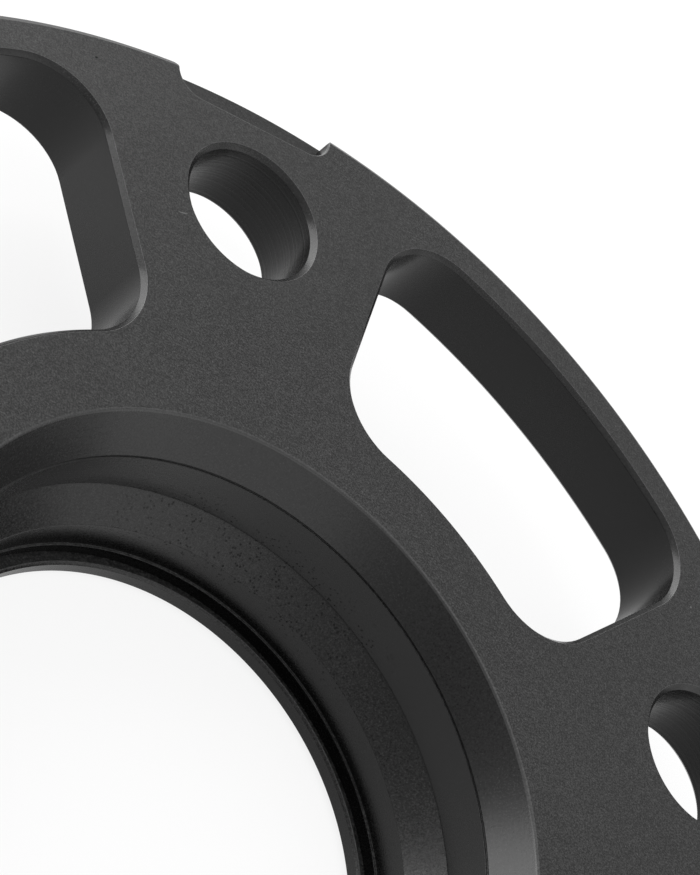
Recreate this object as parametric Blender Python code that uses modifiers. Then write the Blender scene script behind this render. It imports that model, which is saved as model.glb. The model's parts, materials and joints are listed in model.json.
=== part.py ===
"""Hub-centring wheel spacer, turned and milled from one aluminium blank.

The spacer lies as it rests on a bench: on the end of its round lip, with the
face that meets the hub on top. The origin is the centre of the lip's end face,
+Z runs up the axis, and one bolt hole lies towards +Y. Lengths are in metres.
"""

import math

import bmesh
import bpy
from mathutils import Matrix, Vector

MM = 0.001

# Plate: the wide disc, and how much metal it keeps round each opening
PLATE_THICKNESS = 8.5 * MM
HOLE_TO_RIM = 7.15 * MM
RIM_BEVEL_WIDTH = 0.6 * MM
RIM_BEVEL_DEPTH = 0.35 * MM
BACK_BEVEL = 0.5 * MM

# Bolt holes
BOLT_COUNT = 5
BOLT_CIRCLE_DIAMETER = 112.0 * MM
BOLT_HOLE_DIAMETER = 13.7 * MM
BOLT_HOLE_CHAMFER = 0.5 * MM

# Weight-saving slots, one midway between each two bolt holes
SLOT_TO_RIM = 4.1 * MM
SLOT_TO_MOUTH = 7.65 * MM
SLOT_TO_HOLE = 8.05 * MM
SLOT_OUTER_CORNER = 7.0 * MM
SLOT_INNER_CORNER = 7.0 * MM
SLOT_CHAMFER = 0.45 * MM

# Shallow notch in the rim's top edge beside each bolt hole
NOTCH_WIDTH = 18.0 * MM
NOTCH_REACH = 3.7 * MM
NOTCH_DEPTH = 2.0 * MM
NOTCH_CORNER = 2.6 * MM

# Stepped bore, from the hub face down: flared mouth, bore that fits the hub,
# sloping shoulder, throat, narrow seat, relief groove and end flange
MOUTH_EDGE_BREAK = 0.15 * MM
MOUTH_FLARE = 2.7 * MM
MOUTH_DEPTH = 3.45 * MM
HUB_BORE_DIAMETER = 57.1 * MM
HUB_BORE_LENGTH = 5.45 * MM
SHOULDER_WIDTH = 2.55 * MM
SHOULDER_SLOPE = math.radians(45)
SHOULDER_FILLET = 2.0 * MM
THROAT_LENGTH = 3.6 * MM
SEAT_STEP = 0.25 * MM
SEAT_LENGTH = 0.5 * MM
RELIEF_WIDTH = 1.2 * MM
RELIEF_DEPTH = 1.0 * MM
RELIEF_UNDERCUT = 0.12 * MM
RELIEF_FLOOR = 0.95 * MM
RIDGE_WIDTH = 0.35 * MM
RIDGE_EDGE_BREAK = 0.2 * MM
END_CHAMFER = 0.5 * MM

# Lip that centres the wheel, standing out of the back of the plate
LIP_WALL = 4.7 * MM
LIP_FOOT_FILLET = 0.5 * MM
LEAD_IN_WIDTH = 1.2 * MM
LEAD_IN_LENGTH = 2.0 * MM

# Fineness of the round shapes
STEPS_PER_PITCH = 24
HOLE_STEPS = 40
CORNER_STEPS = 6
ARC_STEPS = 6
FILLET_STEPS = 3
MERGE_DISTANCE = 0.01 * MM
SHARP_ANGLE = math.radians(22)
CUTTER_OVERRUN = 1.0 * MM

# Radii and levels that follow from the sizes above
PITCH = math.tau / BOLT_COUNT
FIRST_HOLE_ANGLE = math.pi / 2
BOLT_CIRCLE_RADIUS = BOLT_CIRCLE_DIAMETER / 2
BOLT_HOLE_RADIUS = BOLT_HOLE_DIAMETER / 2
RIM_RADIUS = BOLT_CIRCLE_RADIUS + BOLT_HOLE_RADIUS + HOLE_TO_RIM
HUB_BORE_RADIUS = HUB_BORE_DIAMETER / 2
MOUTH_RADIUS = HUB_BORE_RADIUS + MOUTH_FLARE
THROAT_RADIUS = HUB_BORE_RADIUS - SHOULDER_WIDTH
SEAT_RADIUS = THROAT_RADIUS - SEAT_STEP
RIDGE_RADIUS = SEAT_RADIUS - RELIEF_WIDTH
END_BORE_RADIUS = RIDGE_RADIUS - RIDGE_WIDTH
LIP_RADIUS = HUB_BORE_RADIUS + LIP_WALL

RELIEF_LEVEL = RELIEF_FLOOR
RIDGE_LEVEL = RELIEF_LEVEL + RELIEF_DEPTH
SEAT_LEVEL = RIDGE_LEVEL + SEAT_LENGTH
SHOULDER_FOOT = SEAT_LEVEL + THROAT_LENGTH
SHOULDER_TOP = SHOULDER_FOOT + SHOULDER_WIDTH / math.tan(SHOULDER_SLOPE)
MOUTH_FOOT = SHOULDER_TOP + HUB_BORE_LENGTH
HUB_FACE = MOUTH_FOOT + MOUTH_DEPTH
WHEEL_FACE = HUB_FACE - PLATE_THICKNESS


def arc(centre, radius, start, end, steps):
    """Points of an arc, from its start angle to its end angle."""
    angles = (start + (end - start) * i / steps for i in range(steps + 1))
    return [Vector((centre[0] + radius * math.cos(a), centre[1] + radius * math.sin(a))) for a in angles]


def new_collection(name):
    collection = bpy.data.collections.new(name)
    bpy.context.scene.collection.children.link(collection)
    return collection


def add_object(name, mesh, collection):
    obj = bpy.data.objects.new(name, mesh)
    collection.objects.link(obj)
    return obj


def as_cutter(obj):
    obj.display_type = "WIRE"
    obj.hide_render = True
    return obj


def add_turned(name, profile, closed, steps, collection):
    """A profile of (radius, height) points, turned round the Z axis."""
    mesh = bpy.data.meshes.new(name)
    count = len(profile)
    edges = [(i, (i + 1) % count) for i in range(count if closed else count - 1)]
    mesh.from_pydata([(radius, 0, height) for radius, height in profile], edges, [])
    obj = add_object(name, mesh, collection)
    screw = obj.modifiers.new("turn", "SCREW")
    screw.axis = "Z"
    screw.angle = math.tau
    screw.steps = steps
    screw.render_steps = steps
    screw.use_merge_vertices = True
    screw.merge_threshold = MERGE_DISTANCE
    screw.use_smooth_shade = True
    return obj


def shoulder_fillet():
    """Round inside corner where the sloping shoulder runs into the hub bore."""
    slope = math.pi / 2 - SHOULDER_SLOPE
    tangent = min(SHOULDER_FILLET * math.tan(slope / 2), HUB_BORE_LENGTH / 2, SHOULDER_WIDTH / 2)
    radius = tangent / math.tan(slope / 2)
    centre = (HUB_BORE_RADIUS - radius, SHOULDER_TOP + tangent)
    return arc(centre, radius, -slope, 0, FILLET_STEPS)


def body_profile():
    """Section of the turned blank: down its outside, then up the bore."""
    foot = (LIP_RADIUS + LIP_FOOT_FILLET, WHEEL_FACE - LIP_FOOT_FILLET)
    outside = [
        (RIM_RADIUS - RIM_BEVEL_WIDTH, HUB_FACE),
        (RIM_RADIUS, HUB_FACE - RIM_BEVEL_DEPTH),
        (RIM_RADIUS, WHEEL_FACE + BACK_BEVEL),
        (RIM_RADIUS - BACK_BEVEL, WHEEL_FACE),
        *arc(foot, LIP_FOOT_FILLET, math.pi / 2, math.pi, FILLET_STEPS),
        (LIP_RADIUS, LEAD_IN_LENGTH),
        (LIP_RADIUS - LEAD_IN_WIDTH, 0),
    ]
    bore = [
        (END_BORE_RADIUS + END_CHAMFER, 0),
        (END_BORE_RADIUS, END_CHAMFER),
        (END_BORE_RADIUS, RIDGE_LEVEL - RIDGE_EDGE_BREAK),
        (END_BORE_RADIUS + RIDGE_EDGE_BREAK, RIDGE_LEVEL),
        (RIDGE_RADIUS, RIDGE_LEVEL),
        (RIDGE_RADIUS, RELIEF_LEVEL),
        (SEAT_RADIUS + RELIEF_UNDERCUT, RELIEF_LEVEL),
        (SEAT_RADIUS + RELIEF_UNDERCUT, RIDGE_LEVEL - RELIEF_UNDERCUT),
        (SEAT_RADIUS, RIDGE_LEVEL),
        (SEAT_RADIUS, SEAT_LEVEL),
        (THROAT_RADIUS, SEAT_LEVEL),
        (THROAT_RADIUS, SHOULDER_FOOT),
        *shoulder_fillet(),
        (HUB_BORE_RADIUS, MOUTH_FOOT),
        (MOUTH_RADIUS, HUB_FACE - MOUTH_EDGE_BREAK),
        (MOUTH_RADIUS + MOUTH_EDGE_BREAK, HUB_FACE),
    ]
    return outside + bore


def add_hole_cutter(index, collection):
    """Straight drill with a 45 degree flare where it leaves each face."""
    flare = BOLT_HOLE_RADIUS + BOLT_HOLE_CHAMFER + CUTTER_OVERRUN
    profile = [
        (0, HUB_FACE + CUTTER_OVERRUN),
        (flare, HUB_FACE + CUTTER_OVERRUN),
        (BOLT_HOLE_RADIUS, HUB_FACE - BOLT_HOLE_CHAMFER),
        (BOLT_HOLE_RADIUS, WHEEL_FACE + BOLT_HOLE_CHAMFER),
        (flare, WHEEL_FACE - CUTTER_OVERRUN),
        (0, WHEEL_FACE - CUTTER_OVERRUN),
    ]
    cutter = as_cutter(add_turned(f"bolt_hole_cutter_{index + 1}", profile, False, HOLE_STEPS, collection))
    angle = FIRST_HOLE_ANGLE + index * PITCH
    cutter.location = (BOLT_CIRCLE_RADIUS * math.cos(angle), BOLT_CIRCLE_RADIUS * math.sin(angle), 0)
    return cutter


def slot_outline(growth):
    """Outline of a slot whose middle lies on +X, grown outwards by an allowance.

    The long sides run parallel to the radii that lie a quarter pitch from the
    slot's middle, and each corner is an arc that touches its two neighbours.
    """
    side_angle = PITCH / 4
    side_offset = BOLT_CIRCLE_RADIUS * math.sin(side_angle) - BOLT_HOLE_RADIUS - SLOT_TO_HOLE + growth
    outer_radius = RIM_RADIUS - SLOT_TO_RIM + growth
    inner_radius = MOUTH_RADIUS + SLOT_TO_MOUTH - growth
    outer_corner = SLOT_OUTER_CORNER + growth
    inner_corner = SLOT_INNER_CORNER + growth

    def corner_angle(distance, corner):
        return side_angle + math.asin((side_offset - corner) / distance)

    outer_distance = outer_radius - outer_corner
    inner_distance = inner_radius + inner_corner
    outer_angle = corner_angle(outer_distance, outer_corner)
    inner_angle = corner_angle(inner_distance, inner_corner)
    side_normal = math.pi / 2 + side_angle
    outer_centre = (outer_distance * math.cos(outer_angle), outer_distance * math.sin(outer_angle))
    inner_centre = (inner_distance * math.cos(inner_angle), inner_distance * math.sin(inner_angle))
    half = [
        *arc((0, 0), outer_radius, 0, outer_angle, ARC_STEPS)[:-1],
        *arc(outer_centre, outer_corner, outer_angle, side_normal, CORNER_STEPS),
        *arc(inner_centre, inner_corner, side_normal, math.pi + inner_angle, CORNER_STEPS),
        *arc((0, 0), inner_radius, inner_angle, 0, ARC_STEPS)[1:],
    ]
    mirrored = [Vector((point.x, -point.y)) for point in reversed(half[1:-1])]
    return half + mirrored


def add_loft(name, sections, collection):
    """Closed solid through (outline, height) sections, listed from the bottom up."""
    shape = bmesh.new()
    rings = [[shape.verts.new((p.x, p.y, height)) for p in outline] for outline, height in sections]
    for lower, upper in zip(rings, rings[1:]):
        for i in range(len(lower)):
            j = (i + 1) % len(lower)
            shape.faces.new((lower[i], lower[j], upper[j], upper[i]))
    shape.faces.new(reversed(rings[0]))
    shape.faces.new(rings[-1])
    mesh = bpy.data.meshes.new(name)
    shape.to_mesh(mesh)
    shape.free()
    mesh.shade_smooth()
    return add_object(name, mesh, collection)


def add_slot_cutter(index, collection):
    """Slot-shaped core with a 45 degree flare where it leaves each face."""
    flare = slot_outline(SLOT_CHAMFER + CUTTER_OVERRUN)
    wall = slot_outline(0)
    sections = [
        (flare, WHEEL_FACE - CUTTER_OVERRUN),
        (wall, WHEEL_FACE + SLOT_CHAMFER),
        (wall, HUB_FACE - SLOT_CHAMFER),
        (flare, HUB_FACE + CUTTER_OVERRUN),
    ]
    cutter = as_cutter(add_loft(f"slot_cutter_{index + 1}", sections, collection))
    cutter.rotation_euler.z = FIRST_HOLE_ANGLE + (index + 0.5) * PITCH
    return cutter


def notch_outline():
    """Outline of a notch that opens outwards along +X, with two rounded corners."""
    floor = RIM_RADIUS - NOTCH_REACH
    outer = RIM_RADIUS + CUTTER_OVERRUN
    half_width = NOTCH_WIDTH / 2
    corner = min(NOTCH_CORNER, half_width)
    left = arc((floor + corner, half_width - corner), corner, math.pi / 2, math.pi, CORNER_STEPS)
    right = arc((floor + corner, corner - half_width), corner, math.pi, 1.5 * math.pi, CORNER_STEPS)
    return [Vector((outer, half_width)), *left, *right, Vector((outer, -half_width))]


def add_notch_cutter(index, collection):
    """Flat pocket, made from its outline and welded into one closed mesh."""
    name = f"notch_cutter_{index + 1}"
    thickness = NOTCH_DEPTH + CUTTER_OVERRUN
    outline = notch_outline()
    curve = bpy.data.curves.new(name, "CURVE")
    curve.dimensions = "2D"
    curve.fill_mode = "BOTH"
    curve.extrude = thickness / 2
    spline = curve.splines.new("POLY")
    spline.points.add(len(outline) - 1)
    for point, place in zip(spline.points, outline):
        point.co = (place.x, place.y, 0, 1)
    spline.use_cyclic_u = True
    guide = add_object(name + "_outline", curve, collection)
    bpy.context.view_layer.update()
    mesh = bpy.data.meshes.new_from_object(guide.evaluated_get(bpy.context.evaluated_depsgraph_get()))
    bpy.data.objects.remove(guide)
    welded = bmesh.new()
    welded.from_mesh(mesh)
    bmesh.ops.remove_doubles(welded, verts=welded.verts, dist=MERGE_DISTANCE)
    bmesh.ops.recalc_face_normals(welded, faces=welded.faces)
    welded.to_mesh(mesh)
    welded.free()
    mesh.shade_smooth()
    cutter = as_cutter(add_object(name, mesh, collection))
    turn = Matrix.Rotation(FIRST_HOLE_ANGLE + index * PITCH, 4, "Z")
    lift = Matrix.Translation((0, 0, HUB_FACE - NOTCH_DEPTH + thickness / 2))
    cutter.matrix_world = lift @ turn
    return cutter


def black_anodised():
    """Bead-blasted aluminium under a black anodised skin."""
    material = bpy.data.materials.new("black_anodised_aluminium")
    material.use_nodes = True
    shader = material.node_tree.nodes["Principled BSDF"]
    shader.inputs["Base Color"].default_value = (0.05, 0.05, 0.052, 1)
    shader.inputs["Metallic"].default_value = 0.4
    shader.inputs["Roughness"].default_value = 0.45
    return material


def add_body(parts, cutters):
    """The turned blank with every milled opening cut out of it."""
    body = add_turned("spacer_body", body_profile(), True, STEPS_PER_PITCH * BOLT_COUNT, parts)
    cut = body.modifiers.new("mill", "BOOLEAN")
    cut.operation = "DIFFERENCE"
    cut.solver = "EXACT"
    cut.operand_type = "COLLECTION"
    cut.collection = cutters
    bpy.context.view_layer.update()
    mesh = bpy.data.meshes.new_from_object(body.evaluated_get(bpy.context.evaluated_depsgraph_get()))
    body.modifiers.clear()
    body.data = mesh
    mesh.name = body.name
    mesh.shade_smooth()
    mesh.set_sharp_from_angle(angle=SHARP_ANGLE)
    mesh.materials.clear()
    mesh.materials.append(black_anodised())
    return body


def main():
    for obj in list(bpy.data.objects):
        bpy.data.objects.remove(obj)
    parts = new_collection("wheel_spacer")
    cutters = new_collection("cutters")
    for index in range(BOLT_COUNT):
        add_hole_cutter(index, cutters)
        add_slot_cutter(index, cutters)
        add_notch_cutter(index, cutters)
    add_body(parts, cutters)


main()
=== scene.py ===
# %% [markdown]
# # A black anodised wheel spacer
# A wheel spacer is a thick ring of aluminium that sits between a car's hub and
# its wheel. This lesson dresses the engineering model of one. The model arrives
# as a fixed frame of plain facets. We build a finer skin round the same sizes,
# with the tiny rounded edges that catch light on a real machined part, and then
# give it a bead-blasted, anodised finish.

# %% Load the frame
import json
import math

import bmesh
import bpy
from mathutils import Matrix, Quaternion, Vector

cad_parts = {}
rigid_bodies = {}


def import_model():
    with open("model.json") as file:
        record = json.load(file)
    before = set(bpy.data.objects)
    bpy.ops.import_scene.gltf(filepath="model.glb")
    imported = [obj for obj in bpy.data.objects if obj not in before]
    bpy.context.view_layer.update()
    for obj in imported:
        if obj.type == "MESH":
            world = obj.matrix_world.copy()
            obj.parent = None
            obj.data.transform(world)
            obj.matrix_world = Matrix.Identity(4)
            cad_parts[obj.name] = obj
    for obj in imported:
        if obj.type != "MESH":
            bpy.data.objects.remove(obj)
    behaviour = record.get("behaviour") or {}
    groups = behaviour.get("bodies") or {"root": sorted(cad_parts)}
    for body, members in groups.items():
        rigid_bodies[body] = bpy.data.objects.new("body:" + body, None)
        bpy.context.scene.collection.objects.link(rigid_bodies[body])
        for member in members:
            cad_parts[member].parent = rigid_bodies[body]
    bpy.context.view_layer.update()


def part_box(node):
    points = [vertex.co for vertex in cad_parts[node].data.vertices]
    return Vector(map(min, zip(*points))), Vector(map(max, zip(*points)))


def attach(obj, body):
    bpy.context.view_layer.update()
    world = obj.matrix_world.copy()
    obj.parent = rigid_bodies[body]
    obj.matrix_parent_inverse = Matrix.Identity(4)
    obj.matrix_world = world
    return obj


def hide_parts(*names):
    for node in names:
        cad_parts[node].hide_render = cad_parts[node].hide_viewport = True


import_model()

MM = 0.001
low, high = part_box("spacer_body")
print("the spacer is", [round(size / MM, 2) for size in high - low], "mm")

# %% [markdown]
# ## Camera
# The picture we match was taken from above at a slant, with the ring turned
# and cut off by the frame. A camera is easiest to describe the way a
# photographer would: the spot on the part that it points at, how far round and
# how high it stands, how far away it is, and how it is rolled about its own
# line of sight.

# %% Place the camera
HUB_FACE = high.z
AIM = Vector((11.06 * MM, 35.65 * MM, HUB_FACE))
CAMERA_AZIMUTH = math.radians(-132.357)
CAMERA_ELEVATION = math.radians(40.266)
CAMERA_DISTANCE = 223.43 * MM
CAMERA_ROLL = math.radians(54.353)
FOCAL_LENGTH = 103.41
SENSOR = 36.0


def place_camera():
    towards_camera = Vector((
        math.cos(CAMERA_ELEVATION) * math.cos(CAMERA_AZIMUTH),
        math.cos(CAMERA_ELEVATION) * math.sin(CAMERA_AZIMUTH),
        math.sin(CAMERA_ELEVATION),
    ))
    upright = (-towards_camera).to_track_quat("-Z", "Y")
    roll = Quaternion(towards_camera, CAMERA_ROLL)
    bpy.ops.object.camera_add(location=AIM + towards_camera * CAMERA_DISTANCE)
    camera = bpy.context.object
    camera.rotation_euler = (roll @ upright).to_euler()
    camera.data.sensor_width = SENSOR
    camera.data.lens = FOCAL_LENGTH
    camera.data.clip_start = 1 * MM
    bpy.context.scene.camera = camera
    return camera


camera = place_camera()
print("camera at", [round(c / MM, 1) for c in camera.location], "mm")

# %% [markdown]
# ## Sizes of the skin
# These are the sizes of the engineering model, in millimetres. Widths and
# heights come from the frame's box where they can, and the rest are written
# once here, so every ring and cutter below agrees with its neighbours.

# %% Sizes
RIM = high.x
WHEEL_FACE = HUB_FACE - 8.5 * MM
BOLT_COUNT = 5
PITCH = math.tau / BOLT_COUNT
FIRST_HOLE = math.pi / 2
BOLT_CIRCLE = 56 * MM
BOLT_HOLE = 6.85 * MM
BOLT_CHAMFER = 0.5 * MM
SLOT_OUTER = RIM - 4.1 * MM
SLOT_INNER = 38.9 * MM
SLOT_SIDE = 2.405 * MM
SLOT_CORNER = 7 * MM
SLOT_CHAMFER = 0.45 * MM
NOTCH_FLOOR = RIM - 3.7 * MM
NOTCH_HALF_WIDTH = 8.7 * MM
NOTCH_DEPTH = 2 * MM
NOTCH_CORNER = 2.6 * MM
HUB_BORE = 28.55 * MM
MOUTH = 31.25 * MM
MOUTH_DEPTH = 3.45 * MM
SHOULDER_TOP = 8.6 * MM
THROAT = 26 * MM
SHOULDER_FOOT = 6.05 * MM
SEAT = 25.75 * MM
SEAT_LEVEL = 2.45 * MM
RIDGE = 24.55 * MM
RIDGE_LEVEL = 1.95 * MM
RELIEF_LEVEL = 0.95 * MM
END_BORE = 24.2 * MM
END_CHAMFER = 0.5 * MM
LIP = 33.25 * MM
LIP_LEAD_WIDTH = 1.2 * MM
LIP_LEAD_HEIGHT = 2 * MM
print("rim", RIM / MM, "mm, plate", (HUB_FACE - WHEEL_FACE) / MM, "mm thick")

# %% [markdown]
# ## Rounding a section
# No machined edge is perfectly sharp: the cutter, the deburring and the
# blasting leave a round of about a tenth of a millimetre, and that round is
# what draws the thin bright line along an edge. A Bevel modifier could add it
# at the end, but it struggles where a Boolean has left odd faces. It is safer
# to round the section before it is turned. This helper swaps each corner of a
# section for a short arc that touches both of its sides.

# %% Round the corners of a section
EDGE_ROUND = 0.1 * MM
ROUND_STEPS = 3


def rounded(corners, closed=True):
    """Points of a section whose corners are (radius, height, rounding)."""
    points = []
    count = len(corners)
    for i, (radius, height, rounding) in enumerate(corners):
        here = Vector((radius, height))
        at_end = not closed and i in (0, count - 1)
        if at_end or rounding == 0:
            points.append(here)
            continue
        before = Vector(corners[i - 1][:2]) - here
        after = Vector(corners[(i + 1) % count][:2]) - here
        half_angle = before.angle(after) / 2
        reach = min(rounding / math.tan(half_angle), 0.45 * before.length, 0.45 * after.length)
        start = here + before.normalized() * reach
        end = here + after.normalized() * reach
        for step in range(ROUND_STEPS + 1):
            t = step / ROUND_STEPS
            points.append(start * (1 - t) ** 2 + here * 2 * t * (1 - t) + end * t ** 2)
    return points


print("a square corner becomes", len(rounded([(0, 0, 0), (1, 0, 0.2), (1, 1, 0)], False)) - 2, "points")

# %% [markdown]
# ## Turning a section
# A lathe makes anything round. By hand in Blender the same shape grows from a
# circle: extrude the ring of edges, move it to the next height, resize it to
# the next radius, and go on down the section.

# %% Turn a section into a piece
FINE_STEPS = 360


def deselect_all():
    if bpy.context.object and bpy.context.object.mode != "OBJECT":
        bpy.ops.object.mode_set(mode="OBJECT")
    bpy.ops.object.select_all(action="DESELECT")


def turned(name, section, steps, closed):
    """Extrudes a circle through (radius, height) points."""
    deselect_all()
    first = section[0]
    bpy.ops.mesh.primitive_circle_add(vertices=steps, radius=first.x, location=(0, 0, first.y))
    piece = bpy.context.object
    piece.name = name
    bpy.ops.object.transform_apply()
    bpy.ops.object.mode_set(mode="EDIT")
    rings = section[1:] + section[:1] if closed else section[1:]
    last = first
    for ring in rings:
        bpy.ops.mesh.extrude_edges_move()
        bpy.ops.transform.translate(value=(0, 0, ring.y - last.y))
        grow = ring.x / last.x
        bpy.ops.transform.resize(value=(grow, grow, 1), center_override=(0, 0, ring.y))
        last = ring
    bpy.ops.mesh.select_all(action="SELECT")
    bpy.ops.mesh.remove_doubles(threshold=0.001 * MM)
    bpy.ops.mesh.fill_holes(sides=0)
    bpy.ops.mesh.normals_make_consistent(inside=False)
    bpy.ops.object.mode_set(mode="OBJECT")
    return piece


# %% [markdown]
# ## The turned blank
# The section runs down the outside, from the rim's bevel to the lip that
# centres the wheel, and then up the stepped bore: a narrow ridge, a relief
# groove, the seat, the throat, a sloping shoulder, the bore that fits the hub
# and the flared mouth. A hairline groove at the mouth's foot and a slighter one
# on the shoulder are where the boring tool changed direction.

# %% Turn the blank
ROUND = EDGE_ROUND
SLIGHT = EDGE_ROUND / 2
RIM_TOP_BEVEL = (0.6 * MM, 0.35 * MM)
RIM_BACK_BEVEL = 0.5 * MM
LIP_FILLET = 0.5 * MM
RIDGE_BREAK = 0.2 * MM
HAIRLINE = 0.22 * MM
UNDERCUT = 0.12 * MM
MOUTH_ROUND = 0.35 * MM
MOUTH_GROWTH = 0.05 * MM
MOUTH_FOOT = HUB_FACE - MOUTH_DEPTH
outside = [
    (RIM - RIM_TOP_BEVEL[0], HUB_FACE, ROUND),
    (RIM, HUB_FACE - RIM_TOP_BEVEL[1], ROUND),
    (RIM, WHEEL_FACE + RIM_BACK_BEVEL, ROUND),
    (RIM - RIM_BACK_BEVEL, WHEEL_FACE, ROUND),
    (LIP, WHEEL_FACE, LIP_FILLET),
    (LIP, LIP_LEAD_HEIGHT, 2 * ROUND),
    (LIP - LIP_LEAD_WIDTH, 0, ROUND),
]
bore = [
    (END_BORE + END_CHAMFER, 0, ROUND),
    (END_BORE, END_CHAMFER, ROUND),
    (END_BORE, RIDGE_LEVEL - RIDGE_BREAK, SLIGHT),
    (END_BORE + RIDGE_BREAK, RIDGE_LEVEL, SLIGHT),
    (RIDGE, RIDGE_LEVEL, SLIGHT),
    (RIDGE, RELIEF_LEVEL, 0),
    (SEAT + UNDERCUT, RELIEF_LEVEL, 0),
    (SEAT + UNDERCUT, RIDGE_LEVEL - UNDERCUT, SLIGHT),
    (SEAT, RIDGE_LEVEL, SLIGHT),
    (SEAT, SEAT_LEVEL, SLIGHT),
    (THROAT, SEAT_LEVEL, SLIGHT),
    (THROAT, SHOULDER_FOOT, ROUND),
    (HUB_BORE + UNDERCUT, SHOULDER_TOP + UNDERCUT, SLIGHT),
    (HUB_BORE + UNDERCUT, SHOULDER_TOP + 2 * UNDERCUT, SLIGHT),
    (HUB_BORE, SHOULDER_TOP + 3 * UNDERCUT, ROUND),
    (HUB_BORE, MOUTH_FOOT - HAIRLINE, SLIGHT),
    (HUB_BORE + HAIRLINE, MOUTH_FOOT - HAIRLINE, SLIGHT),
    (HUB_BORE + HAIRLINE / 2, MOUTH_FOOT, SLIGHT),
    (MOUTH + MOUTH_GROWTH, HUB_FACE, MOUTH_ROUND),
]
skin = turned("spacer_skin", rounded(outside + bore), FINE_STEPS, closed=True)
print("the blank has", len(skin.data.polygons), "faces")

# %% [markdown]
# ## Cutters
# The holes, slots and notches are milled out of the blank with one Boolean.
# Each cutter is a little wider where it leaves a face, which makes the chamfer.
# A slot can't be widened by resizing, because that would move its far ends more
# than its near ones. So its outline is worked out again for every level, with
# all its arcs grown by the same amount, and faces are stretched between the
# levels.

# %% Make a cutter from an outline that grows
OVERRUN = 0.5 * MM
OVERRUN_SLOPE = math.radians(15)
OVERRUN_RISE = OVERRUN * math.tan(OVERRUN_SLOPE)


def flared(chamfer, bottom, top):
    """Section of a through cutter as (growth, height) points, from the bottom up."""
    return rounded([
        (chamfer + OVERRUN, bottom - OVERRUN_RISE, 0),
        (chamfer, bottom, EDGE_ROUND),
        (0, bottom + chamfer, EDGE_ROUND),
        (0, top - chamfer, EDGE_ROUND),
        (chamfer, top, EDGE_ROUND),
        (chamfer + OVERRUN, top + OVERRUN_RISE, 0),
    ], closed=False)


def lofted(name, outline, section):
    """A closed solid whose outline grows as the section says."""
    shape = bmesh.new()
    rings = [[shape.verts.new((p.x, p.y, height)) for p in outline(growth)] for growth, height in section]
    for lower, upper in zip(rings, rings[1:]):
        for i in range(len(lower)):
            shape.faces.new((lower[i - 1], lower[i], upper[i], upper[i - 1]))
    shape.faces.new(reversed(rings[0]))
    shape.faces.new(rings[-1])
    mesh = bpy.data.meshes.new(name)
    shape.to_mesh(mesh)
    shape.free()
    piece = bpy.data.objects.new(name, mesh)
    bpy.context.scene.collection.objects.link(piece)
    return piece


def arc(centre, radius, start, end, steps):
    angles = [start + (end - start) * i / steps for i in range(steps + 1)]
    return [Vector((centre[0] + radius * math.cos(a), centre[1] + radius * math.sin(a))) for a in angles]


print("a through cutter has", len(flared(SLOT_CHAMFER, WHEEL_FACE, HUB_FACE)), "levels")

# %% [markdown]
# ## Outline of a slot
# A slot is bounded by two arcs about the part's axis and by two straight sides
# that run parallel to the radii a quarter pitch away. Its four corners are arcs
# that touch both neighbours. One half is worked out and then mirrored.

# %% Slot outline and cutter
LONG_ARC_STEPS = 24
CORNER_ARC_STEPS = 16
SIDE_ANGLE = PITCH / 4


def slot_outline(growth):
    side = SLOT_SIDE + growth
    corner = SLOT_CORNER + growth
    outer = SLOT_OUTER + growth
    inner = SLOT_INNER - growth
    outer_distance = outer - corner
    inner_distance = inner + corner
    outer_angle = SIDE_ANGLE + math.asin((side - corner) / outer_distance)
    inner_angle = SIDE_ANGLE + math.asin((side - corner) / inner_distance)
    side_normal = math.pi / 2 + SIDE_ANGLE
    outer_centre = (outer_distance * math.cos(outer_angle), outer_distance * math.sin(outer_angle))
    inner_centre = (inner_distance * math.cos(inner_angle), inner_distance * math.sin(inner_angle))
    half = arc((0, 0), outer, 0, outer_angle, LONG_ARC_STEPS)[:-1]
    half += arc(outer_centre, corner, outer_angle, side_normal, CORNER_ARC_STEPS)
    half += arc(inner_centre, corner, side_normal, math.pi + inner_angle, CORNER_ARC_STEPS)
    half += arc((0, 0), inner, inner_angle, 0, LONG_ARC_STEPS)[1:]
    return half + [Vector((p.x, -p.y)) for p in reversed(half[1:-1])]


slot_cutter = lofted("slot_cutter", slot_outline, flared(SLOT_CHAMFER, WHEEL_FACE, HUB_FACE))
print("the slot is", round((SLOT_OUTER - SLOT_INNER) / MM, 1), "mm across")

# %% [markdown]
# ## Outline of a notch
# Beside every bolt hole the rim's top edge has a shallow pocket with a flat
# floor. Inside corners are as round as the cutter that made them, and the two
# corners at the rim are swept outwards in a small arc, which catches the light.

# %% Notch outline and cutter
NOTCH_TIP = 0.85 * MM
NOTCH_EDGE = 0.3 * MM


def notch_outline(growth):
    floor = NOTCH_FLOOR - growth
    corner = NOTCH_CORNER + growth
    side = NOTCH_HALF_WIDTH + growth
    rim = math.sqrt(RIM ** 2 - side ** 2)
    half = arc((floor + corner, side - corner), corner, math.pi, math.pi / 2, CORNER_ARC_STEPS)
    half += arc((rim - NOTCH_TIP, side + NOTCH_TIP), NOTCH_TIP, -math.pi / 2, 0, CORNER_ARC_STEPS)
    half.append(Vector((RIM + OVERRUN, side + NOTCH_TIP)))
    return [Vector((p.x, -p.y)) for p in half] + half[::-1]


notch_section = rounded([
    (0, HUB_FACE - NOTCH_DEPTH, 0),
    (0, HUB_FACE, NOTCH_EDGE),
    (OVERRUN, HUB_FACE + OVERRUN_RISE, 0),
], closed=False)
notch_cutter = lofted("notch_cutter", notch_outline, notch_section)
print("the notch is", round(2 * NOTCH_HALF_WIDTH / MM, 1), "mm wide")

# %% [markdown]
# ## Bolt hole cutter
# A bolt hole is round, so its cutter is a turned piece like the blank.

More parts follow.
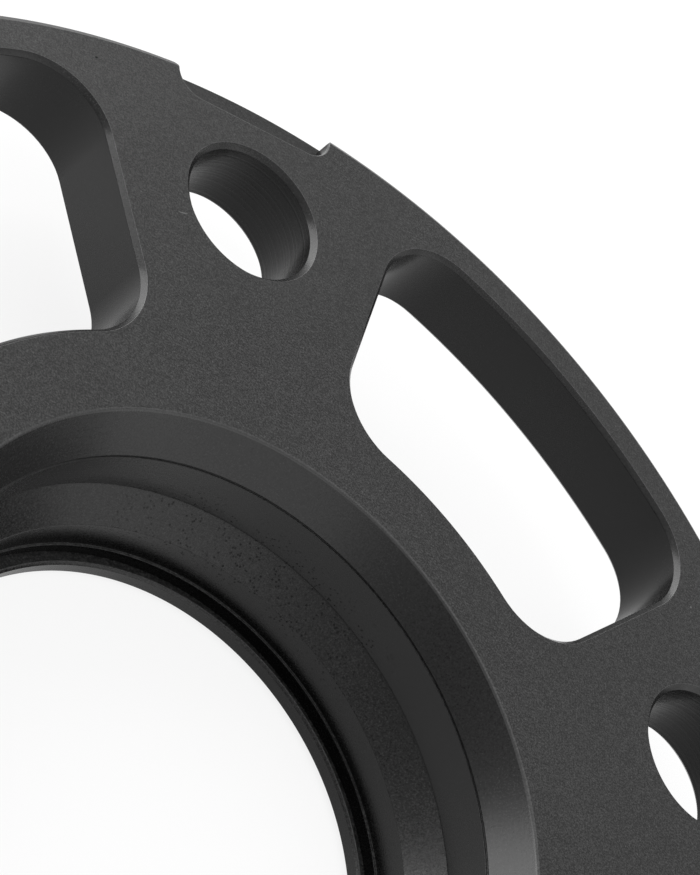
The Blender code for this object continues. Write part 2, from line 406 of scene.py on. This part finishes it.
# %% Bolt hole cutter
HOLE_STEPS = 160
hole_section = [
    Vector((BOLT_HOLE + growth, height)) for growth, height in flared(BOLT_CHAMFER, WHEEL_FACE, HUB_FACE)
]
hole_cutter = turned("hole_cutter", hole_section, HOLE_STEPS, closed=False)
print("the bolt hole is", round(2 * BOLT_HOLE / MM, 1), "mm wide")

# %% [markdown]
# ## Milling
# Every cutter is modelled once on the +X axis. Copies are turned round to their
# places, and one Boolean takes them all out of the blank. Smoothing by angle
# comes next, and then a Weighted Normal modifier, which keeps the broad faces
# flat and leaves all the bending of the light to the narrow rounds.

# %% Mill the blank
SMOOTH_ANGLE = math.radians(35)


def place_copies(cutter, offset, first_angle, collection):
    for index in range(BOLT_COUNT):
        angle = first_angle + index * PITCH
        copy = bpy.data.objects.new(f"{cutter.name}_{index + 1}", cutter.data.copy())
        copy.rotation_euler.z = angle
        copy.location = (offset * math.cos(angle), offset * math.sin(angle), 0)
        collection.objects.link(copy)
    bpy.data.objects.remove(cutter)


def mill(piece, collection):
    deselect_all()
    piece.select_set(True)
    bpy.context.view_layer.objects.active = piece
    cut = piece.modifiers.new("mill", "BOOLEAN")
    cut.solver = "EXACT"
    cut.operand_type = "COLLECTION"
    cut.collection = collection
    bpy.ops.object.modifier_apply(modifier=cut.name)
    for cutter in list(collection.objects):
        bpy.data.objects.remove(cutter)
    bpy.data.collections.remove(collection)


cutters = bpy.data.collections.new("cutters")
bpy.context.scene.collection.children.link(cutters)
place_copies(hole_cutter, BOLT_CIRCLE, FIRST_HOLE, cutters)
place_copies(slot_cutter, 0, FIRST_HOLE + PITCH / 2, cutters)
place_copies(notch_cutter, 0, FIRST_HOLE, cutters)
mill(skin, cutters)
bpy.ops.object.shade_smooth_by_angle(angle=SMOOTH_ANGLE)
weighting = skin.modifiers.new("flat_faces", "WEIGHTED_NORMAL")
weighting.keep_sharp = True
bpy.ops.object.modifier_apply(modifier=weighting.name)
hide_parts("spacer_body")
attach(skin, "root")
print("the milled skin has", len(skin.data.polygons), "faces")

# %% [markdown]
# ## Arithmetic with sockets
# A material is a small sum: this much grain, plus a little mottling, only on
# the walls, and so on. Writing it as Python expressions keeps it readable. The
# Wire class below wraps one output socket of a node. Adding or multiplying two
# wires places the Math node that does it. Every other node comes from one
# method of the Bench class, which takes the node's type, its settings and its
# sockets.

# %% Write shader sums in Python
class Wire:
    """An output socket that works in ordinary arithmetic."""

    def __init__(self, bench, socket):
        self.bench = bench
        self.socket = socket

    def maths(self, operation, *others):
        sockets = dict(enumerate((self,) + others))
        return self.bench.node("ShaderNodeMath", {"operation": operation}, sockets)

    def __add__(self, other):
        return self.maths("ADD", other)

    def __sub__(self, other):
        return self.maths("SUBTRACT", other)

    def __mul__(self, other):
        return self.maths("MULTIPLY", other)

    def __truediv__(self, other):
        return self.maths("DIVIDE", other)

    def __rsub__(self, other):
        return self.maths("MULTIPLY", -1).maths("ADD", other)

    __radd__ = __add__
    __rmul__ = __mul__

    def all_outputs(self):
        """One wire for every output of this wire's node."""
        return [Wire(self.bench, socket) for socket in self.socket.node.outputs]

    def clamped(self):
        return self.maths("MINIMUM", 1).maths("MAXIMUM", 0)

    def ramp(self, start, end):
        """0 at start, 1 at end, smooth between them."""
        settings = {"interpolation_type": "SMOOTHSTEP"}
        sockets = {"Value": self, "From Min": start, "From Max": end}
        return self.bench.node("ShaderNodeMapRange", settings, sockets)


class Bench:
    """The node tree of one material or world, and the means to fill it."""

    def __init__(self, owner):
        owner.use_nodes = True
        self.owner = owner
        self.tree = owner.node_tree
        self.tree.nodes.clear()

    def node(self, kind, settings=None, sockets=None, output=0):
        made = self.tree.nodes.new(kind)
        for key, value in (settings or {}).items():
            setattr(made, key, value)
        for key, value in (sockets or {}).items():
            if isinstance(value, Wire):
                self.tree.links.new(value.socket, made.inputs[key])
            else:
                made.inputs[key].default_value = value
        return Wire(self, made.outputs[output]) if made.outputs else made

    def noise(self, place, scale, detail=2.0, roughness=0.5):
        sockets = {"Vector": place, "Scale": scale, "Detail": detail, "Roughness": roughness}
        return self.node("ShaderNodeTexNoise", None, sockets)


print("shader sums use", len([name for name in dir(Wire) if name.startswith("__r")]), "reflected forms")

# %% [markdown]
# ## Black anodised aluminium
# The part is turned and milled, then blasted with fine glass beads and
# anodised. The beads leave dents of about a tenth of a millimetre, which
# glitter a little; that glitter is painted into the colour as small highlights.
# The dye takes unevenly over a centimetre or two. Inside the bolt holes the
# drill's rings still show, because the beads hardly reach there.
# All of this reads Object coordinates, which are metres here, so a noise scale
# is simply the number of lumps in a metre. The first cell finds out where a
# point lies: how upright the surface is, how far it is from the axis and from
# the nearest bolt hole, and whether it is in a hole or in the bore.

# %% Places on the part that the finish depends on
anodised = Bench(bpy.data.materials.new("anodised_black"))
place = anodised.node("ShaderNodeTexCoord", output="Object")
x, y, z = anodised.node("ShaderNodeSeparateXYZ", None, {0: place}).all_outputs()
facing = anodised.node("ShaderNodeNewGeometry", output="Normal")
facing_up = anodised.node("ShaderNodeSeparateXYZ", None, {0: facing}, "Z")
upright_share = facing_up.maths("ABSOLUTE")
flat = upright_share.ramp(0.75, 0.92)
wall = 1 - upright_share.ramp(0.1, 0.5)
turned_share = 1 - flat
radius = (x * x + y * y).maths("SQRT")
turn = y.maths("ARCTAN2", x)
pitches = (turn - FIRST_HOLE) / PITCH
beside = (pitches - pitches.maths("ROUND")) * PITCH
hole_x = radius * beside.maths("COSINE") - BOLT_CIRCLE
hole_y = radius * beside.maths("SINE")
from_hole = (hole_x * hole_x + hole_y * hole_y).maths("SQRT")
in_hole = wall * (1 - from_hole.ramp(BOLT_HOLE + 0.25 * MM, BOLT_HOLE + 0.75 * MM))
in_bore = 1 - radius.ramp(MOUTH - 0.05 * MM, MOUTH + 0.05 * MM)
print("place masks use", len(anodised.tree.nodes), "nodes")

# %% [markdown]
# ## Grain, rings and pits
# Three noises make the grain: a fine one for the bead dents, a coarser one for
# clumps of them, and a very broad one for the dye. The sharpest dents get a
# painted glint, a highlight added to their colour. A noise that only changes
# with height gives the turning marks on the walls. On one side of the bore the
# metal under the anodising was pitted, so a Voronoi texture is let through
# there, in a patch with ragged edges.

# %% Patterns
GRAIN_SCALE = 5600
CLUMP_SCALE = 2600
DYE_SCALE = 60
RING_SCALE = 2600
grain = anodised.noise(place, GRAIN_SCALE, 2.0, 0.7)
clumps = anodised.noise(place, CLUMP_SCALE, 3.0, 0.6)
dye = anodised.noise(place, DYE_SCALE, 2.0)
# Painted glints: highlights added to the colour where the fine grain peaks.
painted_glints = grain.ramp(0.70, 0.80)
height_only = anodised.node("ShaderNodeCombineXYZ", None, {"Z": z})
rings = anodised.noise(height_only, RING_SCALE, 4.0, 0.75) - 0.5
hole_rings = rings * in_hole
bore_rings = rings * (in_bore * turned_share)
print("patterns reach", len(anodised.tree.nodes), "nodes")

# %% Pits
PITTED_ANGLE = math.radians(70)
PITTED_REACH = (math.radians(18), math.radians(48))
RAGGED_SCALE = 350
CHANCE_SCALE = 1300
PIT_SCALE = 2600
patch = 1 - (turn - PITTED_ANGLE).maths("ABSOLUTE").ramp(*PITTED_REACH)
patch = patch * in_bore * (1 - z.ramp(9.0 * MM, 13.0 * MM)) * z.ramp(3.5 * MM, 6.0 * MM)
patch = patch * anodised.noise(place, RAGGED_SCALE, 3.0, 0.6).ramp(0.36, 0.52)
patch = patch * anodised.noise(place, CHANCE_SCALE, 1.0).ramp(0.40, 0.47)
cells = anodised.node("ShaderNodeTexVoronoi", None, {"Vector": place, "Scale": PIT_SCALE}, "Distance")
pits = (1 - cells.ramp(0.16, 0.36)) * patch
print("pits reach", len(anodised.tree.nodes), "nodes")

# %% [markdown]
# ## Marks of handling
# The face of a part that has been on a bench is never quite clean. A few marks
# are placed one by one: a short light scratch, a white speck of dust and a dark
# dent. Each is a stretched spot, which is full inside and fades at its edge.
# They are listed by centre, half length and half width in millimetres, and by
# the angle of their length in degrees.

# %% Marks
LIGHT_MARKS = [
    ((-7.7, 51.9), 0.55, 0.05, 12),
    ((53.2, 33.4), 0.11, 0.09, 0),
    ((22.4, 41.0), 0.3, 0.04, -35),
    ((-38.0, -42.0), 0.5, 0.05, 70),
]
DARK_MARKS = [
    ((-17.7, 64.8), 0.16, 0.12, 20),
    ((12.0, -50.5), 0.15, 0.1, 0),
]
at_top = z.ramp(HUB_FACE - 0.3 * MM, HUB_FACE - 0.2 * MM)


def spot(centre, half_length, half_width, angle):
    """1 inside a small ellipse on the hub face, 0 outside it."""
    across, along = x - centre[0] * MM, y - centre[1] * MM
    cosine, sine = math.cos(math.radians(angle)), math.sin(math.radians(angle))
    u = (across * cosine + along * sine) / (half_length * MM)
    v = (along * cosine - across * sine) / (half_width * MM)
    return (1 - (u * u + v * v).ramp(0.4, 1.2)) * at_top


light_marks = sum(spot(*mark) for mark in LIGHT_MARKS)
dark_marks = sum(spot(*mark) for mark in DARK_MARKS)
print("marks reach", len(anodised.tree.nodes), "nodes")

# %% [markdown]
# ## Worn edges and painted edge highlights
# Hands and fixtures touch the edges first, and there the anodising is a little
# paler. These edge lines are painted lighter, partly for that wear and partly
# as painted highlights, the bright lines that rounded edges catch. The mouth and
# the ridge in the bore are rings, so their edges are a narrow band of radius. A
# notch has a rounded outline, so the distance to that outline is worked out as
# for a box with round corners. The edges of slots and bolt holes are found by the
# tilt of their rounds.

# %% Worn edges and painted edge highlights
def band(distance, start, end, soft=0.04):
    """1 where a distance lies between start and end, in millimetres."""
    inside = distance.ramp((start - soft) * MM, start * MM)
    return inside * (1 - distance.ramp(end * MM, (end + soft) * MM))


to_floor = (NOTCH_FLOOR - BOLT_CIRCLE + NOTCH_CORNER) - hole_x
to_side = hole_y.maths("ABSOLUTE") - (NOTCH_HALF_WIDTH - NOTCH_CORNER)
to_floor, to_side = to_floor.maths("MAXIMUM", 0), to_side.maths("MAXIMUM", 0)
from_notch = (to_floor * to_floor + to_side * to_side).maths("SQRT") - NOTCH_CORNER
mouth_edge = band(radius, MOUTH / MM - 0.1, MOUTH / MM + 0.15)
notch_edge = band(from_notch, 0, 0.12)
ridge_edge = band(radius, RIDGE / MM - 0.11, RIDGE / MM + 0.01)
ridge_edge = ridge_edge * band(z, RIDGE_LEVEL / MM - 0.15, RIDGE_LEVEL / MM + 0.1)
BETWEEN_MOUTH_AND_RIM = (33, 68)
tilted = upright_share.ramp(0.74, 0.80) * (1 - upright_share.ramp(0.95, 0.99))
opening_edge = at_top * tilted * band(radius, *BETWEEN_MOUTH_AND_RIM)
# Edge lines painted lighter: partly paler wear, partly painted highlight.
edge_wear_and_highlight = at_top * (0.4 * mouth_edge + notch_edge) + 0.7 * ridge_edge + 1.5 * opening_edge
print("worn edges reach", len(anodised.tree.nodes), "nodes")

# %% [markdown]
# ## Colour, gloss and relief
# The dye is a neutral black that looks dark grey under a studio light. The
# blasted face and the turned slopes took it alike, and the milled walls and the
# notches are darker. Slopes and walls are smoother than the face, so they
# mirror more. Pits are so deep that they mirror nothing and lie in shade, so
# their darkness is painted shade: a second, near-black dull finish that is
# mixed in. The dark marks get the same finish.

# %% Colour
FACE_BLACK = 0.0135
SLOPE_BLACK = 0.014
WALL_BLACK = 0.004
NOTCH_DARKER = 0.45
LEAST_SPECKLE = 0.2
black = SLOPE_BLACK + (FACE_BLACK - SLOPE_BLACK) * flat - (SLOPE_BLACK - WALL_BLACK) * wall
notch_floor = flat * z.ramp(WHEEL_FACE + 3 * MM, WHEEL_FACE + 4 * MM)
notch_floor = notch_floor * (1 - z.ramp(HUB_FACE - 1.2 * MM, HUB_FACE - 0.8 * MM))
black = black * (1 - NOTCH_DARKER * notch_floor)
below_hub_bore = in_bore * (1 - z.ramp(SHOULDER_TOP, SHOULDER_TOP + 0.4 * MM))
blasted = flat + 0.25 * turned_share + 0.25 * below_hub_bore
speckle = 1 + blasted * (8.0 * (grain - 0.5) + 3.0 * (clumps - 0.5)) + 0.5 * (dye - 0.5)
shade = black * speckle.maths("MAXIMUM", LEAST_SPECKLE) * (1 + 1.5 * hole_rings)
# Painted glints are added to the colour here, with the light marks and the edge lines, which are part wear
# and part painted highlight.
shade = shade + 0.06 * painted_glints * blasted + 0.08 * light_marks + 0.06 * edge_wear_and_highlight
colour = anodised.node("ShaderNodeCombineColor", None, {"Red": shade, "Green": shade, "Blue": shade})
print("the colour reaches", len(anodised.tree.nodes), "nodes")

# %% Gloss and relief
FACE_ROUGHNESS = 0.44
TURNED_SMOOTHER = 0.18
DENT_DEPTH = 0.02 * MM
gloss = FACE_ROUGHNESS - TURNED_SMOOTHER * turned_share + 0.08 * (dye - 0.5)
gloss = gloss + 0.3 * blasted * (grain - 0.5) + 0.25 * hole_rings
relief = blasted * (grain + 0.7 * clumps) + 2.4 * hole_rings + 0.5 * bore_rings
bumped = anodised.node("ShaderNodeBump", None, {"Height": relief, "Distance": DENT_DEPTH, "Strength": 1.0})
print("the relief reaches", len(anodised.tree.nodes), "nodes")

# %% Finish the anodised material
surface = anodised.node("ShaderNodeBsdfPrincipled", None, {
    "Base Color": colour,
    "Metallic": 0.0,
    "Roughness": gloss,
    "Specular IOR Level": 0.3,
    "Normal": bumped,
})
# Near-black dull finish: painted shade inside the pits, and the colour of the dark marks.
pit_shade_and_dark_mark_finish = anodised.node("ShaderNodeBsdfPrincipled", None, {
    "Base Color": (0.003, 0.003, 0.003, 1),
    "Roughness": 0.9,
    "Specular IOR Level": 0.1,
})
pit_shade_and_dark_mark_share = (0.7 * pits + 0.8 * dark_marks).clamped()
finish = anodised.node("ShaderNodeMixShader", None, {0: pit_shade_and_dark_mark_share, 1: surface, 2: pit_shade_and_dark_mark_finish})
anodised.node("ShaderNodeOutputMaterial", None, {"Surface": finish})
skin.data.materials.clear()
skin.data.materials.append(anodised.owner)
print("the finish has", len(anodised.tree.nodes), "nodes")

# %% [markdown]
# ## Floor
# The part lies on its lip on a plain white table. The floor's white is a mix:
# rays that come from the camera or a reflection mostly see a plain white glow,
# and the rest is a white diffuse surface, which keeps the part's soft shadow.

# %% Floor
WHITE = (1, 1, 1, 1)
TABLE_PAINT = (0.8, 0.8, 0.8, 1)
TABLE_SIZE = 6
TABLE_GAP = 0.02 * MM
SEEN_GLOW = 0.85
MIRRORED_GLOW = 0.7
table = Bench(bpy.data.materials.new("white_table"))
paint = table.node("ShaderNodeBsdfDiffuse", None, {"Color": TABLE_PAINT})
glow = table.node("ShaderNodeEmission", None, {"Color": WHITE, "Strength": 1.0})
camera_ray = table.node("ShaderNodeLightPath", output="Is Camera Ray")
glossy_ray = table.node("ShaderNodeLightPath", output="Is Glossy Ray")
glass_ray = table.node("ShaderNodeLightPath", output="Is Transmission Ray")
share = SEEN_GLOW * camera_ray + MIRRORED_GLOW * (glossy_ray + glass_ray)
mixed = table.node("ShaderNodeMixShader", None, {0: share, 1: paint, 2: glow})
table.node("ShaderNodeOutputMaterial", None, {"Surface": mixed})
deselect_all()
bpy.ops.mesh.primitive_plane_add(size=TABLE_SIZE, location=(0, 0, -TABLE_GAP))
floor = bpy.context.object
floor.name = "table_top"
bpy.ops.object.transform_apply()
floor.data.materials.append(table.owner)
print("floor", floor.name)

# %% [markdown]
# ## Light
# Dark metal shows its form through what it mirrors. The world gives a soft
# light from everywhere. One broad softbox stands behind the part on the far
# left, where the face mirrors it towards the camera, so the face fades from
# left to right as it does in the photograph. It is tilted about its beam, so
# that the chamfers that look at the camera stay dark while the flared mouth
# catches its low end. Two weaker ones light the edges and the slopes.

# %% Lamps and world
CENTRE = Vector((10 * MM, 20 * MM, HUB_FACE))


def softbox(name, azimuth, elevation, distance, size, radiance, roll=0):
    """An area lamp that shines at the part with a given brightness."""
    a, e = math.radians(azimuth), math.radians(elevation)
    towards = Vector((math.cos(e) * math.cos(a), math.cos(e) * math.sin(a), math.sin(e)))
    watts = radiance * math.pi * size[0] * size[1]
    bpy.ops.object.light_add(type="AREA", location=CENTRE + towards * distance)
    lamp = bpy.context.object
    lamp.name = name
    roll_about_beam = Quaternion(towards, math.radians(roll))
    lamp.rotation_euler = (roll_about_beam @ towards.to_track_quat("Z", "Y")).to_euler()
    lamp.data.shape = "RECTANGLE"
    lamp.data.size, lamp.data.size_y = size
    lamp.data.energy = watts
    return lamp


softbox("key_softbox", 124, 26, 0.6, (1.1, 0.43), 5.2, roll=-15)
softbox("fill_softbox", 300, 20, 0.6, (0.9, 0.4), 0.8)
softbox("top_softbox", 340, 78, 0.6, (0.4, 0.3), 2.0)

# %% [markdown]
# ## The room
# The rest of the studio is an even grey-white, darker on the side where the
# camera stands. Seen directly, the room is plain white, like the table.

# %% World
ROOM_LIGHT = 0.82
ROOM_SHADE = 0.8
DARK_SIDE = math.radians(205)
room = Bench(bpy.data.worlds.new("studio_room"))
outlook = room.node("ShaderNodeTexCoord", output="Generated")
dark_side = room.node("ShaderNodeVectorMath", {"operation": "DOT_PRODUCT"}, {
    0: outlook,
    1: (math.cos(DARK_SIDE), math.sin(DARK_SIDE), 0),
}, "Value")
level = ROOM_LIGHT * (1 - ROOM_SHADE * dark_side.ramp(0.3, 1.05))
lighting = room.node("ShaderNodeBackground", None, {"Color": WHITE, "Strength": level})
plain_white = room.node("ShaderNodeBackground", None, {"Color": WHITE, "Strength": 1.0})
seen = room.node("ShaderNodeLightPath", output="Is Camera Ray")
backdrop = room.node("ShaderNodeMixShader", None, {0: seen, 1: lighting, 2: plain_white})
room.node("ShaderNodeOutputWorld", None, {"Surface": backdrop})
bpy.context.scene.world = room.owner
bpy.context.scene.view_settings.view_transform = "Standard"
print("the room has", len(room.tree.nodes), "nodes")

# %% [markdown] The skin has to stay inside the engineering model's box.
